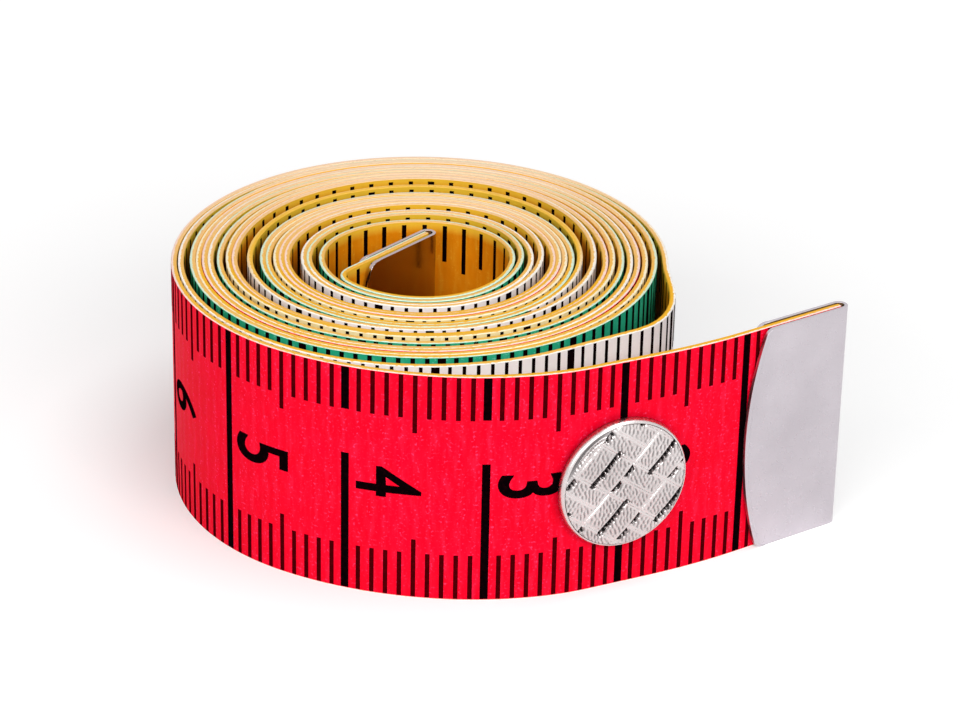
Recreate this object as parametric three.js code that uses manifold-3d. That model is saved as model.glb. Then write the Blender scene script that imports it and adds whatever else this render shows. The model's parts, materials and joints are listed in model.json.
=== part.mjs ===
// A cloth tape measure, rolled up and standing on its edge, with its outer end swung clear of the roll.
// The tape carries a folded metal clip at each end and a press snap that closes the roll: a cap and a
// sprung socket on the outer end, and a stud with its post on the turn behind it.
// Millimetres, +Z up, origin at the centre of the underside, +X along the longest side.
import * as THREE from 'three';
import Module from 'manifold-3d';
import { mergeVertices } from 'three/addons/utils/BufferGeometryUtils.js';

const wasm = await Module();
wasm.setup();

const deg = THREE.MathUtils.degToRad;
const FULL_TURN = 2 * Math.PI;

// Tape
const TAPE_LENGTH = 1500;
const TAPE_WIDTH = 17.7;
const TAPE_THICKNESS = 0.15;
const FLEX_GAP = 0.3; // between two stretches of tape, where it flexes
const WELD_DISTANCE = 1e-5;

// Roll, wound clockwise seen from above, from the outside in
const ROLL_RADIUS = 18.5; // outer face of the outermost turn
const CORE_RADIUS = 6.07; // inner face of the innermost turn
const CORE_SHIFT_X = -0.6; // core's centre, from the roll's axis
const CORE_SHIFT_Y = -0.4;
const SLACK = 0.45; // extra room behind the turn that holds the stud
const STEPS_PER_TURN = 36;
const LEAST_STEP = 0.05; // between two stations, as a share of a step
const LENGTH_STEPS = 4; // per station, when the wound length is measured
const LENGTH_ROUNDS = 8; // to find the number of turns that gives the length

// Outermost turn: it lifts off the roll just before the free end leaves it
const LEAVE_ANGLE = deg(-84.1); // direction from the roll's axis to where the free end starts
const LIFT = 1;
const LIFT_ANGLE = deg(36);
const PEEL_ANGLE = deg(96); // wound angle of the stretch that peels off with the free end

// Free end: stretches from the roll to the outer clip, each with its length and the angle that it turns
const BEND_LENGTH = 8;
const BEND_TURN = deg(20.1);
const SHOULDER_LENGTH = 2.3;
const SHOULDER_TURN = deg(9.1);
const SNAP_FLAT = 5; // held flat by the snap
const SWEEP_LENGTH = 7.75;
const SWEEP_TURN = deg(9.1);
const ARC_STEP = deg(4);

// Inner end: folded across the core, its clip's tip near the far wall
const TAIL_FOLD = deg(66); // between the wall and the folded end
const TAIL_TIP_GAP = 0.5;

// End clips, of sheet metal folded over the end of the tape
const CLIP_LENGTH = 9.2; // at the middle of its curved edge
const CLIP_SHEET = 0.35;
const CLIP_TAPE_GAP = 0.25;
const CLIP_EDGE_RADIUS = 26; // of the curved edge
const CLIP_FOLD_SEGMENTS = 8;

// Press snap: sizes along its axis
const SNAP_HEIGHT = 8.5; // of its axis, above the tape's lower edge
const SEAT_GAP = 0.1; // between faces that are clamped together
const CAP_HEIGHT = 1;
const CAP_RIM_DROP = 0.2; // field below the rim
const SOCKET_DEPTH = 1.4;
const SOCKET_BASE = 0.3;
const SOCKET_LIP = 0.3;
const RIVET_HEAD = 0.2; // flared end of the cap's barrel
const STUD_BASE = 0.3;
const STUD_HEAD = 0.85;
const STUD_WAIST = 0.35; // height of the narrow neck below the head
const STUD_STOP_GAP = 0.15; // between the socket's mouth and the stud's base, snapped shut
const POST_FLANGE = 0.3;
const POST_LENGTH = 1.3; // barrel, from its flange

// Press snap: radii
const RADIAL_GAP = 0.3; // round a barrel in its hole
const CAP_RADIUS = 5;
const CAP_RIM = 0.35;
const CAP_EDGE = 0.3; // rounding of the cap's edge
const CAP_BARREL_RADIUS = 1;
const RIVET_HEAD_RADIUS = 1.7;
const SOCKET_RADIUS = 3.4;
const SOCKET_WALL = 0.45;
const SOCKET_MOUTH_RADIUS = 2.25;
const SPRING_WIRE_RADIUS = 0.2;
const SPRING_WALL_GAP = 0.15;
const SPRING_OPENING = deg(40); // split in the spring ring
const STUD_BASE_RADIUS = 3;
const STUD_HEAD_RADIUS = 1.75;
const STUD_WAIST_RADIUS = 1.5;
const POST_FLANGE_RADIUS = 2.8;
const POST_BARREL_RADIUS = 0.8;
const CAP_SEGMENTS = 40;
const SNAP_SEGMENTS = 24;
const WIRE_SIDES = 8;
const SPRING_STEPS = 28;

// Turn behind the free end: flat under the stud, then easing back into the roll on both sides
const CLOSE_ANGLE = deg(6.5); // swing of the free end that shuts the snap
const STUD_FLAT_MARGIN = 0.3;
const BULGE_ANGLE = deg(36);
const SETTLE_ANGLE = deg(25);

const MATERIALS = {
  red: { color: 0xd3183c, roughness: 0.55, metalness: 0 },
  edge: { color: 0xe3b661, roughness: 0.55, metalness: 0 },
  yellow: { color: 0xe59a1c, roughness: 0.55, metalness: 0 },
  nickel: { color: 0xb9b9b6, roughness: 0.35, metalness: 1 },
  cap: { color: 0xc9c9c7, roughness: 0.2, metalness: 1 },
  steel: { color: 0x9a9a98, roughness: 0.3, metalness: 1 },
};

function makeMesh(name, geometry, material) {
  const mesh = new THREE.Mesh(geometry, new THREE.MeshStandardMaterial(material));
  mesh.name = name;
  return mesh;
}

function toSolid(geometry) {
  const bare = geometry.clone();
  bare.deleteAttribute('normal');
  bare.deleteAttribute('uv');
  const merged = mergeVertices(bare, WELD_DISTANCE);
  return new wasm.Manifold(new wasm.Mesh({
    numProp: 3,
    vertProperties: new Float32Array(merged.attributes.position.array),
    triVerts: new Uint32Array(merged.index.array),
  }));
}

function fromSolid(solid) {
  const mesh = solid.getMesh();
  const geometry = new THREE.BufferGeometry();
  geometry.setAttribute('position', new THREE.BufferAttribute(new Float32Array(mesh.vertProperties), 3));
  geometry.setIndex(new THREE.BufferAttribute(new Uint32Array(mesh.triVerts), 1));
  geometry.computeVertexNormals();
  return geometry;
}

// A strip on its edge between two plan lines, the one on the left and the one on the right of its run.
function stripGeometry(left, right) {
  const positions = [];
  left.forEach((point, i) => {
    positions.push(point.x, point.y, 0, point.x, point.y, TAPE_WIDTH);
    positions.push(right[i].x, right[i].y, 0, right[i].x, right[i].y, TAPE_WIDTH);
  });
  const index = [];
  const quad = (a, b, c, d) => index.push(a, b, c, a, c, d);
  const last = left.length - 1;
  for (let i = 0; i < last; i += 1) {
    const a = 4 * i;
    const b = a + 4;
    quad(a, a + 1, b + 1, b);
    quad(a + 2, b + 2, b + 3, a + 3);
    quad(a + 3, b + 3, b + 1, a + 1);
    quad(a + 2, a, b, b + 2);
  }
  const end = 4 * last;
  quad(2, 3, 1, 0);
  quad(end + 2, end, end + 1, end + 3);
  const geometry = new THREE.BufferGeometry();
  geometry.setAttribute('position', new THREE.Float32BufferAttribute(positions, 3));
  geometry.setIndex(index);
  geometry.computeVertexNormals();
  return geometry;
}

const direction = (angle) => new THREE.Vector2(Math.cos(angle), Math.sin(angle));
const offset = (point, angle, distance) => point.clone().addScaledVector(direction(angle), distance);

// Plan line from a start point, through stretches that each turn evenly: points with their headings.
function walk(start, heading, stretches) {
  const line = [{ point: start.clone(), heading }];
  stretches.forEach(({ length, turn }) => {
    const steps = Math.max(1, Math.ceil(Math.abs(turn) / ARC_STEP));
    for (let i = 0; i < steps; i += 1) {
      const from = line[line.length - 1];
      const point = offset(from.point, from.heading + turn / steps / 2, length / steps);
      line.push({ point, heading: from.heading + turn / steps });
    }
  });
  return line;
}

// Free end: its outer face, from where it leaves the roll
const rollAxis = new THREE.Vector2();
const leavePoint = offset(rollAxis, LEAVE_ANGLE, ROLL_RADIUS + LIFT);
const leaveHeading = LEAVE_ANGLE + Math.PI / 2 - Math.atan2(2 * LIFT / LIFT_ANGLE, ROLL_RADIUS + LIFT);
const freeHinge = offset(leavePoint, LEAVE_ANGLE, -TAPE_THICKNESS / 2);
const clipHalf = TAPE_THICKNESS / 2 + CLIP_TAPE_GAP + CLIP_SHEET;
const toSnap = [
  { length: BEND_LENGTH, turn: BEND_TURN },
  { length: SHOULDER_LENGTH, turn: SHOULDER_TURN },
  { length: SNAP_FLAT / 2, turn: 0 },
];
const pastSnap = [
  { length: SNAP_FLAT / 2, turn: 0 },
  { length: SWEEP_LENGTH, turn: SWEEP_TURN },
  { length: CLIP_LENGTH - clipHalf, turn: 0 },
];
const freeLine = walk(leavePoint, leaveHeading, [...toSnap, ...pastSnap]);
const freeLength = [...toSnap, ...pastSnap].reduce((sum, stretch) => sum + stretch.length, 0);
const snapPlace = walk(leavePoint, leaveHeading, toSnap).pop();
const freeTip = freeLine[freeLine.length - 1];

// Snap stack, as distances from the tape's outer face along the snap's axis, outward positive
const socketBack = -TAPE_THICKNESS - SEAT_GAP;
const socketFloor = socketBack - SOCKET_BASE;
const socketMouth = socketBack - SOCKET_DEPTH;
const studShoulder = socketMouth - STUD_STOP_GAP;
const studFoot = studShoulder - STUD_BASE;
const studSeat = studFoot - SEAT_GAP;
const postTop = studSeat - TAPE_THICKNESS - SEAT_GAP;
const postFoot = postTop - POST_FLANGE;

// Snapped shut, the free end has swung about its flex line, and the stud's seat lies under the socket
const closedPoint = snapPlace.point.clone().rotateAround(freeHinge, CLOSE_ANGLE);
const seatNormal = snapPlace.heading - Math.PI / 2 + CLOSE_ANGLE;
const seatDistance = closedPoint.dot(direction(seatNormal)) + studSeat;
const seatMiddle = closedPoint.dot(direction(seatNormal + Math.PI / 2));
const seatHalf = STUD_BASE_RADIUS + STUD_FLAT_MARGIN;
const woundAngle = (along) => LEAVE_ANGLE + FULL_TURN - seatNormal - Math.atan2(along, seatDistance);
const seatFrom = woundAngle(seatMiddle + seatHalf);
const seatTo = woundAngle(seatMiddle - seatHalf);

// Cubic from one radius and slope to another, over a span of wound angle.
function ease(share, span, fromRadius, fromSlope, toRadius, toSlope) {
  const square = share * share;
  const cube = square * share;
  return fromRadius * (2 * cube - 3 * square + 1) + toRadius * (3 * square - 2 * cube)
    + span * (fromSlope * (cube - 2 * square + share) + toSlope * (cube - square));
}

// Radius of the wound tape's outer face, by the angle wound from where the free end leaves.
function outerRadius(angle, winding) {
  const slope = -winding.pitch / FULL_TURN;
  const coil = (at) => ROLL_RADIUS + slope * at;
  const flat = (at) => {
    const centre = new THREE.Vector2(CORE_SHIFT_X, CORE_SHIFT_Y).multiplyScalar(at / winding.angle);
    const tilt = LEAVE_ANGLE - at - seatNormal;
    return (seatDistance - centre.dot(direction(seatNormal))) / Math.cos(tilt);
  };
  const flatSlope = (at) => -flat(at) * Math.tan(LEAVE_ANGLE - at - seatNormal);
  if (angle < LIFT_ANGLE) return coil(angle) + LIFT * (1 - angle / LIFT_ANGLE) ** 2;
  const bulgeFrom = seatFrom - BULGE_ANGLE;
  if (angle < bulgeFrom) return coil(angle);
  if (angle < seatFrom) {
    const share = (angle - bulgeFrom) / BULGE_ANGLE;
    return ease(share, BULGE_ANGLE, coil(bulgeFrom), slope, flat(seatFrom), flatSlope(seatFrom));
  }
  if (angle < seatTo) return flat(angle);
  const settled = seatTo + SETTLE_ANGLE;
  if (angle < settled) {
    const share = (angle - seatTo) / SETTLE_ANGLE;
    return ease(share, SETTLE_ANGLE, flat(seatTo), flatSlope(seatTo), coil(settled) - SLACK, slope);
  }
  return coil(angle) - SLACK;
}

// Plan point of the wound tape, at a depth below its outer face.
function woundPoint(angle, winding, depth) {
  const share = angle / winding.angle;
  const centre = new THREE.Vector2(CORE_SHIFT_X, CORE_SHIFT_Y).multiplyScalar(share);
  return offset(centre, LEAVE_ANGLE - angle, outerRadius(angle, winding) - depth);
}

function makeWinding(turns) {
  const pitch = (ROLL_RADIUS - SLACK - CORE_RADIUS - TAPE_THICKNESS) / turns;
  return { turns, pitch, angle: FULL_TURN * turns };
}

function woundLength(winding) {
  const steps = Math.ceil(winding.turns * STEPS_PER_TURN * LENGTH_STEPS);
  let length = 0;
  let last = woundPoint(0, winding, TAPE_THICKNESS / 2);
  for (let i = 1; i <= steps; i += 1) {
    const next = woundPoint(winding.angle * i / steps, winding, TAPE_THICKNESS / 2);
    length += next.distanceTo(last);
    last = next;
  }
  return length;
}

// The folded inner end reaches across the core, so its length comes from the core
const tailLength = 2 * CORE_RADIUS * Math.sin(TAIL_FOLD) - TAIL_TIP_GAP - clipHalf;
const targetLength = TAPE_LENGTH - freeLength - tailLength;
let winding = makeWinding(targetLength / (Math.PI * (ROLL_RADIUS + CORE_RADIUS)));
for (let round = 0; round < LENGTH_ROUNDS; round += 1) {
  winding = makeWinding(winding.turns * targetLength / woundLength(winding));
}

// Wound angles of the stations between two ends, at the same directions on every turn.
function stations(from, to) {
  const step = FULL_TURN / STEPS_PER_TURN;
  const angles = [from, to];
  for (let i = Math.ceil(from / step); i * step < to; i += 1) angles.push(i * step);
  [seatFrom, seatTo].filter((angle) => angle > from && angle < to).forEach((angle) => angles.push(angle));
  angles.sort((a, b) => a - b);
  const apart = LEAST_STEP * step;
  return angles.filter((angle, i) => i === 0 || i === angles.length - 1
    || (angle - angles[i - 1] > apart && to - angle > apart));
}

function woundFaces(from, to) {
  const angles = stations(from, to);
  const outer = angles.map((angle) => woundPoint(angle, winding, 0));
  const inner = angles.map((angle) => woundPoint(angle, winding, TAPE_THICKNESS));
  return { angles, outer, inner };
}

// Least distance from the outer face of a turn to the inner face of the turn outside it.
function leastGap({ angles, outer, inner }) {
  let least = Infinity;
  const nearest = new THREE.Vector2();
  const run = new THREE.Vector2();
  outer.forEach((point, i) => {
    for (let j = 1; j < inner.length && angles[j] < angles[i] - Math.PI; j += 1) {
      run.subVectors(inner[j], inner[j - 1]);
      nearest.subVectors(point, inner[j - 1]);
      const share = THREE.MathUtils.clamp(nearest.dot(run) / run.lengthSq(), 0, 1);
      nearest.copy(inner[j - 1]).addScaledVector(run, share);
      least = Math.min(least, nearest.distanceTo(point));
    }
  });
  return least;
}

const flexAngle = (angle) => FLEX_GAP / 2 / outerRadius(angle, winding);
const peelFaces = woundFaces(flexAngle(0), PEEL_ANGLE - flexAngle(PEEL_ANGLE));
const rollFaces = woundFaces(PEEL_ANGLE + flexAngle(PEEL_ANGLE), winding.angle - flexAngle(winding.angle));
const peelHinge = woundPoint(PEEL_ANGLE, winding, TAPE_THICKNESS / 2);
const tailHinge = woundPoint(winding.angle, winding, TAPE_THICKNESS / 2);
const tailHeading = LEAVE_ANGLE - winding.angle - Math.PI / 2 - TAIL_FOLD;
const tailTip = offset(tailHinge, tailHeading, tailLength);

// A frame on the tape: +X runs to the tape's tip, at half thickness, or for the snap +Y points outward.
function frameAt(point, angle, height) {
  const group = new THREE.Group();
  group.position.set(point.x, point.y, height);
  group.rotation.z = angle;
  return group;
}

function holeAt(frame, radius, from, to) {
  const hole = new THREE.CylinderGeometry(radius, radius, to - from, SNAP_SEGMENTS);
  hole.translate(0, (from + to) / 2, 0);
  frame.updateMatrix();
  return toSolid(hole.applyMatrix4(frame.matrix));
}

function makeTape(name, left, right, material, hole) {
  let geometry = stripGeometry(left, right);
  if (hole) geometry = fromSolid(toSolid(geometry).subtract(hole));
  return makeMesh(name, geometry, material);
}

const snapFrame = frameAt(snapPlace.point, snapPlace.heading + Math.PI, SNAP_HEIGHT);
const studFrame = frameAt(closedPoint, snapPlace.heading + Math.PI + CLOSE_ANGLE, SNAP_HEIGHT);

function makeFreeTape() {
  const line = [...freeLine];
  line[0] = { point: offset(leavePoint, leaveHeading, FLEX_GAP / 2), heading: leaveHeading };
  const outer = line.map(({ point }) => point);
  const inner = line.map(({ point, heading }) => offset(point, heading + Math.PI / 2, TAPE_THICKNESS));
  const reach = SEAT_GAP / 2;
  const hole = holeAt(snapFrame, CAP_BARREL_RADIUS + RADIAL_GAP, -TAPE_THICKNESS - reach, reach);
  return makeTape('tape_free_end', inner, outer, MATERIALS.red, hole);
}

function makeRoll() {
  const reach = SEAT_GAP / 2;
  const from = studSeat - TAPE_THICKNESS - reach;
  const hole = holeAt(studFrame, POST_BARREL_RADIUS + RADIAL_GAP, from, studSeat + reach);
  return makeTape('tape_roll', rollFaces.outer, rollFaces.inner, MATERIALS.edge, hole);
}

function makeTail() {
  const ends = [offset(tailHinge, tailHeading, FLEX_GAP / 2), tailTip];
  const face = (side) => ends.map((point) => offset(point, tailHeading + side, TAPE_THICKNESS / 2));
  return makeTape('tape_inner_end', face(Math.PI / 2), face(-Math.PI / 2), MATERIALS.yellow);
}

// A clip in its tape's frame: the tape ends at the origin, and the fold is just past it.
function makeClip(name) {
  const inside = TAPE_THICKNESS / 2 + CLIP_TAPE_GAP;
  const edge = clipHalf - CLIP_LENGTH;
  const section = new THREE.Shape();
  section.moveTo(edge, clipHalf);
  section.lineTo(edge, inside);
  section.lineTo(0, inside);
  section.absarc(0, 0, inside, Math.PI / 2, -Math.PI / 2, true);
  section.lineTo(edge, -inside);
  section.lineTo(edge, -clipHalf);
  section.lineTo(0, -clipHalf);
  section.absarc(0, 0, clipHalf, -Math.PI / 2, Math.PI / 2, false);
  section.closePath();
  const folded = new THREE.ExtrudeGeometry(section, {
    depth: TAPE_WIDTH, steps: 1, bevelEnabled: false, curveSegments: CLIP_FOLD_SEGMENTS,
  });
  const half = TAPE_WIDTH / 2;
  const sweep = Math.asin(half / CLIP_EDGE_RADIUS);
  const outline = new THREE.Shape();
  outline.moveTo(2 * clipHalf, 0);
  outline.lineTo(2 * clipHalf, TAPE_WIDTH);
  outline.absarc(edge + CLIP_EDGE_RADIUS, half, CLIP_EDGE_RADIUS, Math.PI - sweep, Math.PI + sweep, false);
  outline.closePath();
  const blank = new THREE.ExtrudeGeometry(outline, {
    depth: 4 * clipHalf, steps: 1, bevelEnabled: false, curveSegments: 2 * CLIP_FOLD_SEGMENTS,
  });
  blank.rotateX(Math.PI / 2);
  blank.translate(0, 2 * clipHalf, 0);
  const geometry = fromSolid(toSolid(folded).intersect(toSolid(blank)));
  return makeMesh(name, geometry, MATERIALS.nickel);
}

// A turned piece about the snap's axis, from the corners of its section.
function turned(corners, segments) {
  const profile = corners.map(([radius, along]) => new THREE.Vector2(radius, along));
  return new THREE.LatheGeometry(profile, segments);
}

function makeCap() {
  const top = SEAT_GAP + CAP_HEIGHT;
  const field = top - CAP_RIM_DROP;
  const rivet = socketFloor - SEAT_GAP;
  const corners = [
    [0, rivet - RIVET_HEAD],
    [RIVET_HEAD_RADIUS, rivet - RIVET_HEAD],
    [RIVET_HEAD_RADIUS, rivet],
    [CAP_BARREL_RADIUS, rivet],
    [CAP_BARREL_RADIUS, SEAT_GAP],
    [CAP_RADIUS - CAP_EDGE, SEAT_GAP],
    [CAP_RADIUS, SEAT_GAP + CAP_EDGE],
    [CAP_RADIUS, top - CAP_EDGE],
    [CAP_RADIUS - CAP_EDGE, top],
    [CAP_RADIUS - CAP_EDGE - CAP_RIM, field],
    [0, field],
  ];
  return makeMesh('snap_cap', turned(corners, CAP_SEGMENTS), MATERIALS.cap);
}

function makeSocket() {
  const bore = CAP_BARREL_RADIUS + RADIAL_GAP;
  const wall = SOCKET_RADIUS - SOCKET_WALL;
  const corners = [
    [bore, socketBack],
    [bore, socketFloor],
    [wall, socketFloor],
    [wall, socketMouth + SOCKET_LIP],
    [SOCKET_MOUTH_RADIUS, socketMouth + SOCKET_LIP],
    [SOCKET_MOUTH_RADIUS, socketMouth],
    [SOCKET_RADIUS, socketMouth],
    [SOCKET_RADIUS, socketBack],
    [bore, socketBack],
  ];
  return makeMesh('snap_socket', turned(corners, SNAP_SEGMENTS), MATERIALS.steel);
}

// Split wire ring in the socket's groove.
function makeSpring() {
  const ringRadius = SOCKET_RADIUS - SOCKET_WALL - SPRING_WALL_GAP - SPRING_WIRE_RADIUS;
  const height = (socketFloor + socketMouth + SOCKET_LIP) / 2;
  class Ring extends THREE.Curve {
    getPoint(share, target = new THREE.Vector3()) {
      const angle = SPRING_OPENING / 2 + share * (FULL_TURN - SPRING_OPENING);
      return target.set(ringRadius * Math.cos(angle), height, ringRadius * Math.sin(angle));
    }
  }
  const wire = new THREE.Shape();
  for (let i = 0; i < WIRE_SIDES; i += 1) {
    const corner = direction(FULL_TURN * i / WIRE_SIDES).multiplyScalar(SPRING_WIRE_RADIUS);
    if (i === 0) wire.moveTo(corner.x, corner.y);
    else wire.lineTo(corner.x, corner.y);
  }
  wire.closePath();
  const geometry = new THREE.ExtrudeGeometry(wire, { steps: SPRING_STEPS, extrudePath: new Ring() });
  return makeMesh('snap_socket_spring', geometry, MATERIALS.steel);
}

function makeStud() {
  const bore = POST_BARREL_RADIUS + RADIAL_GAP;
  const top = studShoulder + STUD_HEAD;
  const shoulder = studShoulder + STUD_WAIST;
  const corners = [
    [bore, studFoot],
    [STUD_BASE_RADIUS, studFoot],
    [STUD_BASE_RADIUS, studShoulder],
    [STUD_WAIST_RADIUS, studShoulder],
    [STUD_HEAD_RADIUS, shoulder],
    [STUD_HEAD_RADIUS, (shoulder + top) / 2],
    [STUD_WAIST_RADIUS, top],
    [bore, top],
    [bore, studFoot],
  ];
  return makeMesh('snap_stud', turned(corners, SNAP_SEGMENTS), MATERIALS.steel);
}

function makePost() {
  const corners = [
    [0, postFoot],
    [POST_FLANGE_RADIUS, postFoot],
    [POST_FLANGE_RADIUS, postTop],
    [POST_BARREL_RADIUS, postTop],
    [POST_BARREL_RADIUS, postTop + POST_LENGTH],
    [0, postTop + POST_LENGTH],
  ];
  return makeMesh('snap_post', turned(corners, SNAP_SEGMENTS), MATERIALS.steel);
}

snapFrame.add(makeCap(), makeSocket(), makeSpring());
studFrame.add(makeStud(), makePost());

const outerClipPoint = offset(freeTip.point, freeTip.heading + Math.PI / 2, TAPE_THICKNESS / 2);
const outerClipFrame = frameAt(outerClipPoint, freeTip.heading, 0);
outerClipFrame.add(makeClip('outer_end_clip'));
const innerClipFrame = frameAt(tailTip, tailHeading, 0);
innerClipFrame.add(makeClip('inner_end_clip'));

const peeled = makeTape('tape_outer_turn', peelFaces.outer, peelFaces.inner, MATERIALS.red);
const assembly = new THREE.Group();
assembly.add(makeRoll(), peeled, makeFreeTape(), makeTail());
assembly.add(outerClipFrame, innerClipFrame, snapFrame, studFrame);

const box = new THREE.Box3().setFromObject(assembly, true);
const centre = box.getCenter(new THREE.Vector3());
assembly.position.set(-centre.x, -centre.y, 0);
const tapeMeasure = new THREE.Group();
tapeMeasure.add(assembly);

const degrees = (angle) => THREE.MathUtils.radToDeg(angle).toFixed(2);
const placed = (point) => `${(point.x - centre.x).toFixed(4)}, ${(point.y - centre.y).toFixed(4)}`;
const windingGap = leastGap(woundFaces(flexAngle(0), winding.angle));
const platePoint = offset(outerClipPoint, freeTip.heading, clipHalf - CLIP_LENGTH / 2);
const plateNormal = freeTip.heading - Math.PI / 2;
const plateEdge = offset(platePoint, plateNormal, clipHalf - CLIP_SHEET / 2);
const studPoint = offset(closedPoint, seatNormal, studSeat);
console.log(`roll: ${winding.turns.toFixed(3)} turns, pitch ${winding.pitch.toFixed(3)} mm`);
console.log(`least gap between turns: ${windingGap.toFixed(3)} mm`);
console.log(`tape: ${(freeLength + woundLength(winding) + tailLength).toFixed(2)} mm long`);
console.log(`roll axis: ${placed(rollAxis)}`);
console.log(`flex line of the free end: ${placed(freeHinge)}`);
console.log(`flex line of the outer turn: ${placed(peelHinge)}`);
console.log(`flex line of the inner end: ${placed(tailHinge)}, heading ${degrees(tailHeading)} degrees`);
console.log(`snap: ${placed(snapPlace.point)}, heading ${degrees(snapPlace.heading)} degrees`);
console.log(`stud: ${placed(studPoint)}, facing ${degrees(seatNormal)} degrees`);
console.log(`outer clip's plate: ${placed(offset(platePoint, plateNormal, clipHalf))}`);
console.log(`outer clip's plate faces ${degrees(plateNormal)} degrees`);
console.log(`outer clip's lower edge: ${placed(plateEdge)}`);

export default tapeMeasure;
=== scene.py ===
import functools
import json
import math

import bmesh
import bpy
import numpy as np
from mathutils import Matrix, Vector


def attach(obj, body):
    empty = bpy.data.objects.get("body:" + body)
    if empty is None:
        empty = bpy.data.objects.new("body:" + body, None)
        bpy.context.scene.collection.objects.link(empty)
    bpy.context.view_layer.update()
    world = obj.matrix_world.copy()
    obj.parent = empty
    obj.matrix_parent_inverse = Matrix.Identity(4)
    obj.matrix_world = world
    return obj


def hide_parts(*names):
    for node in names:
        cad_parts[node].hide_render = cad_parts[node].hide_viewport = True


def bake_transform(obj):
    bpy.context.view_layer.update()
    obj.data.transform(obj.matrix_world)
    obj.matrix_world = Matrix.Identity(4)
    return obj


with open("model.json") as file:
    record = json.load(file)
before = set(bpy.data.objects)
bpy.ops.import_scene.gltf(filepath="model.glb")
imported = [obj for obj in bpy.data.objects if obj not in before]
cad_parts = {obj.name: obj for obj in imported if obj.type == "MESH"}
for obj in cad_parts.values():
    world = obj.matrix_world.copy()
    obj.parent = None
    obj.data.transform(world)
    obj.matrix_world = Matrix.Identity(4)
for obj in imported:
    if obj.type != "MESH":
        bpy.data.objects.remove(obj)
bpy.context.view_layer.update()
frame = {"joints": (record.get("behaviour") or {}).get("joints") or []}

# Looks of a cloth tape measure, rolled up on its edge. Sizes are millimetres up to where a mesh is made. A
# place on the tape is given by its printed scale: "along" is the millimetre mark, counted from the outer
# end, "height" is measured up from the lower edge, and "offset" outward from mid-thickness.
MM = 0.001
FULL_TURN = 2 * math.pi

# Tape
TAPE_WIDTH = 17.7
TAPE_THICKNESS = 0.42
CUT_SOFTNESS = 0.05  # of the corners along the cut edges
COLOUR_LENGTH = 100.0  # of each colour on the outer face
COLOUR_ORDER = ("red", "white", "green", "yellow")
PALE_COLOURS = ("white", "yellow")
TAPE_MAP = "tape"

# Free end, from the flex line to the tape's end: stretches with their length and their turn in degrees
FREE_STRETCHES = ((8.0, 20.1), (2.3, 9.1), (5.0, 0.0), (7.75, 9.1), (8.525, 0.0))
FREE_FLEX = 33.0  # along, at the flex line
FREE_STEP = 0.05
BEND_SMOOTHING = 2.0

# Roll, wound clockwise seen from above, from the outside in
LEAVE_ANGLE = math.radians(-84.1)  # direction from the roll's axis to the free end's flex line
HINGE_RADIUS = 19.425
LIFT = 1.0  # of the outermost turn, where the free end leaves it
LIFT_ANGLE = math.radians(36)
FULL_TURNS = 18
STEPS_PER_TURN = 360
FRONT_RADIUS = 18.425  # mid-line of the outermost turn, before its lift
BACK_RADIUS = 18.68
FRONT_GAPS = (0.16, 0.88, 0.02, 0.06, 0.02, 0.5, 0.45, 0.02, 0.36, 0.02, 0.02, 0.34, 0.02, 0.02, 0.72, 0.04,
              0.16, 0.02)
BACK_GAPS = (0.1, 0.08, 0.08, 0.08, 0.08, 0.08, 0.08, 0.08, 1.15, 1.12, 0.03, 0.03, 0.03, 0.03, 0.95, 0.03,
             0.94, 0.03)
SIDE_OUTER = -0.28  # the outermost turn's sides, against its front and back
SIDE_INNER = 0.43
RIGHT_IN = 0.5  # by which the inner turns lie further in on the right
RIGHT_IN_FROM = 6  # turns over which that grows
STEP_FROM = math.radians(60)  # directions between which each turn steps in to the next
STEP_TO = math.radians(-40)
SETTLE_TURNS = 0.6  # over which the innermost turns come to the inner flex line
RISE = 0.025  # of the wound turns' upper edges
RISE_FROM = 150.0  # along, where it starts, and over how much it comes in
RISE_WAVES = (37.0, 23.0)  # lengths to a radian

# Seat of the stud on the turn behind the free end, on that turn's face
SEAT_POINT = (6.4779, -12.5794)
SEAT_FACING = math.radians(-57.67)
SEAT_HALF = 3.3
SEAT_DEPTH = 0.075  # from the seat to mid-thickness
BULGE_ANGLE = math.radians(37)  # over which the turn comes out to the seat
BULGE_SETTLE = math.radians(25)  # and goes back in after it

# Inner end
TAIL_HEADING = math.radians(50.89)
TAIL_LENGTH = 9.915
TAIL_STEPS = 60
TAIL_FILLET = 1.3

# Pieces of the tape: where they meet, where they bend, and how close their points are
MEET_OUTER = 50.0
MEET_WOUND = 94.0
MEET_TAIL = 8.0  # before the inner flex line
FREE_BEND = (30.2, 35.8)
PEEL_BEND = (61.2, 66.8)
TAIL_BEND = 1.5  # to each side of the inner flex line
END_SPACING = 0.5
OUTERMOST_SPACING = 0.6
TAIL_SPACING = 0.25
STATIONS_PER_TURN = 120
STATION_DIGITS = 4

# Printed scale
INK_RAISED = 0.012
INK_SUNK = 0.03
OUTER_MARGIN = 0.09  # bare along the cut edges
INNER_MARGIN = 0.26
MM_TICK = 0.32  # widths
PALE_TICK = 0.25  # on the pale colours
CM_BAR = 0.58
INCH_TICK = 0.34
INCH_BAR = 0.5
TOP_TICK = 3.4  # lengths
TOP_HALF_TICK = 4.55
LOW_TICK = 3.6
LOW_HALF_TICK = 4.7
CM = 10
HALF_CM = 5
INCH = 25.4
INCH_PARTS = 16
INCH_TICKS = {1: 3.2, 2: 4.0, 4: 4.8, 8: 6.0}  # lengths, by sixteenths
BROKEN_BARS = (3, 4)  # centimetres
BREAK_FROM = 10.9
BREAK_TO = TAPE_WIDTH - 3.35
BOTH_EDGES_TO = 260.0  # from an end, with ticks on both edges
NUMBERS = range(2, 23)  # centimetres
NUMBER_HEIGHT = 4.7
NUMBER_CONDENSED = 0.75
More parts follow.
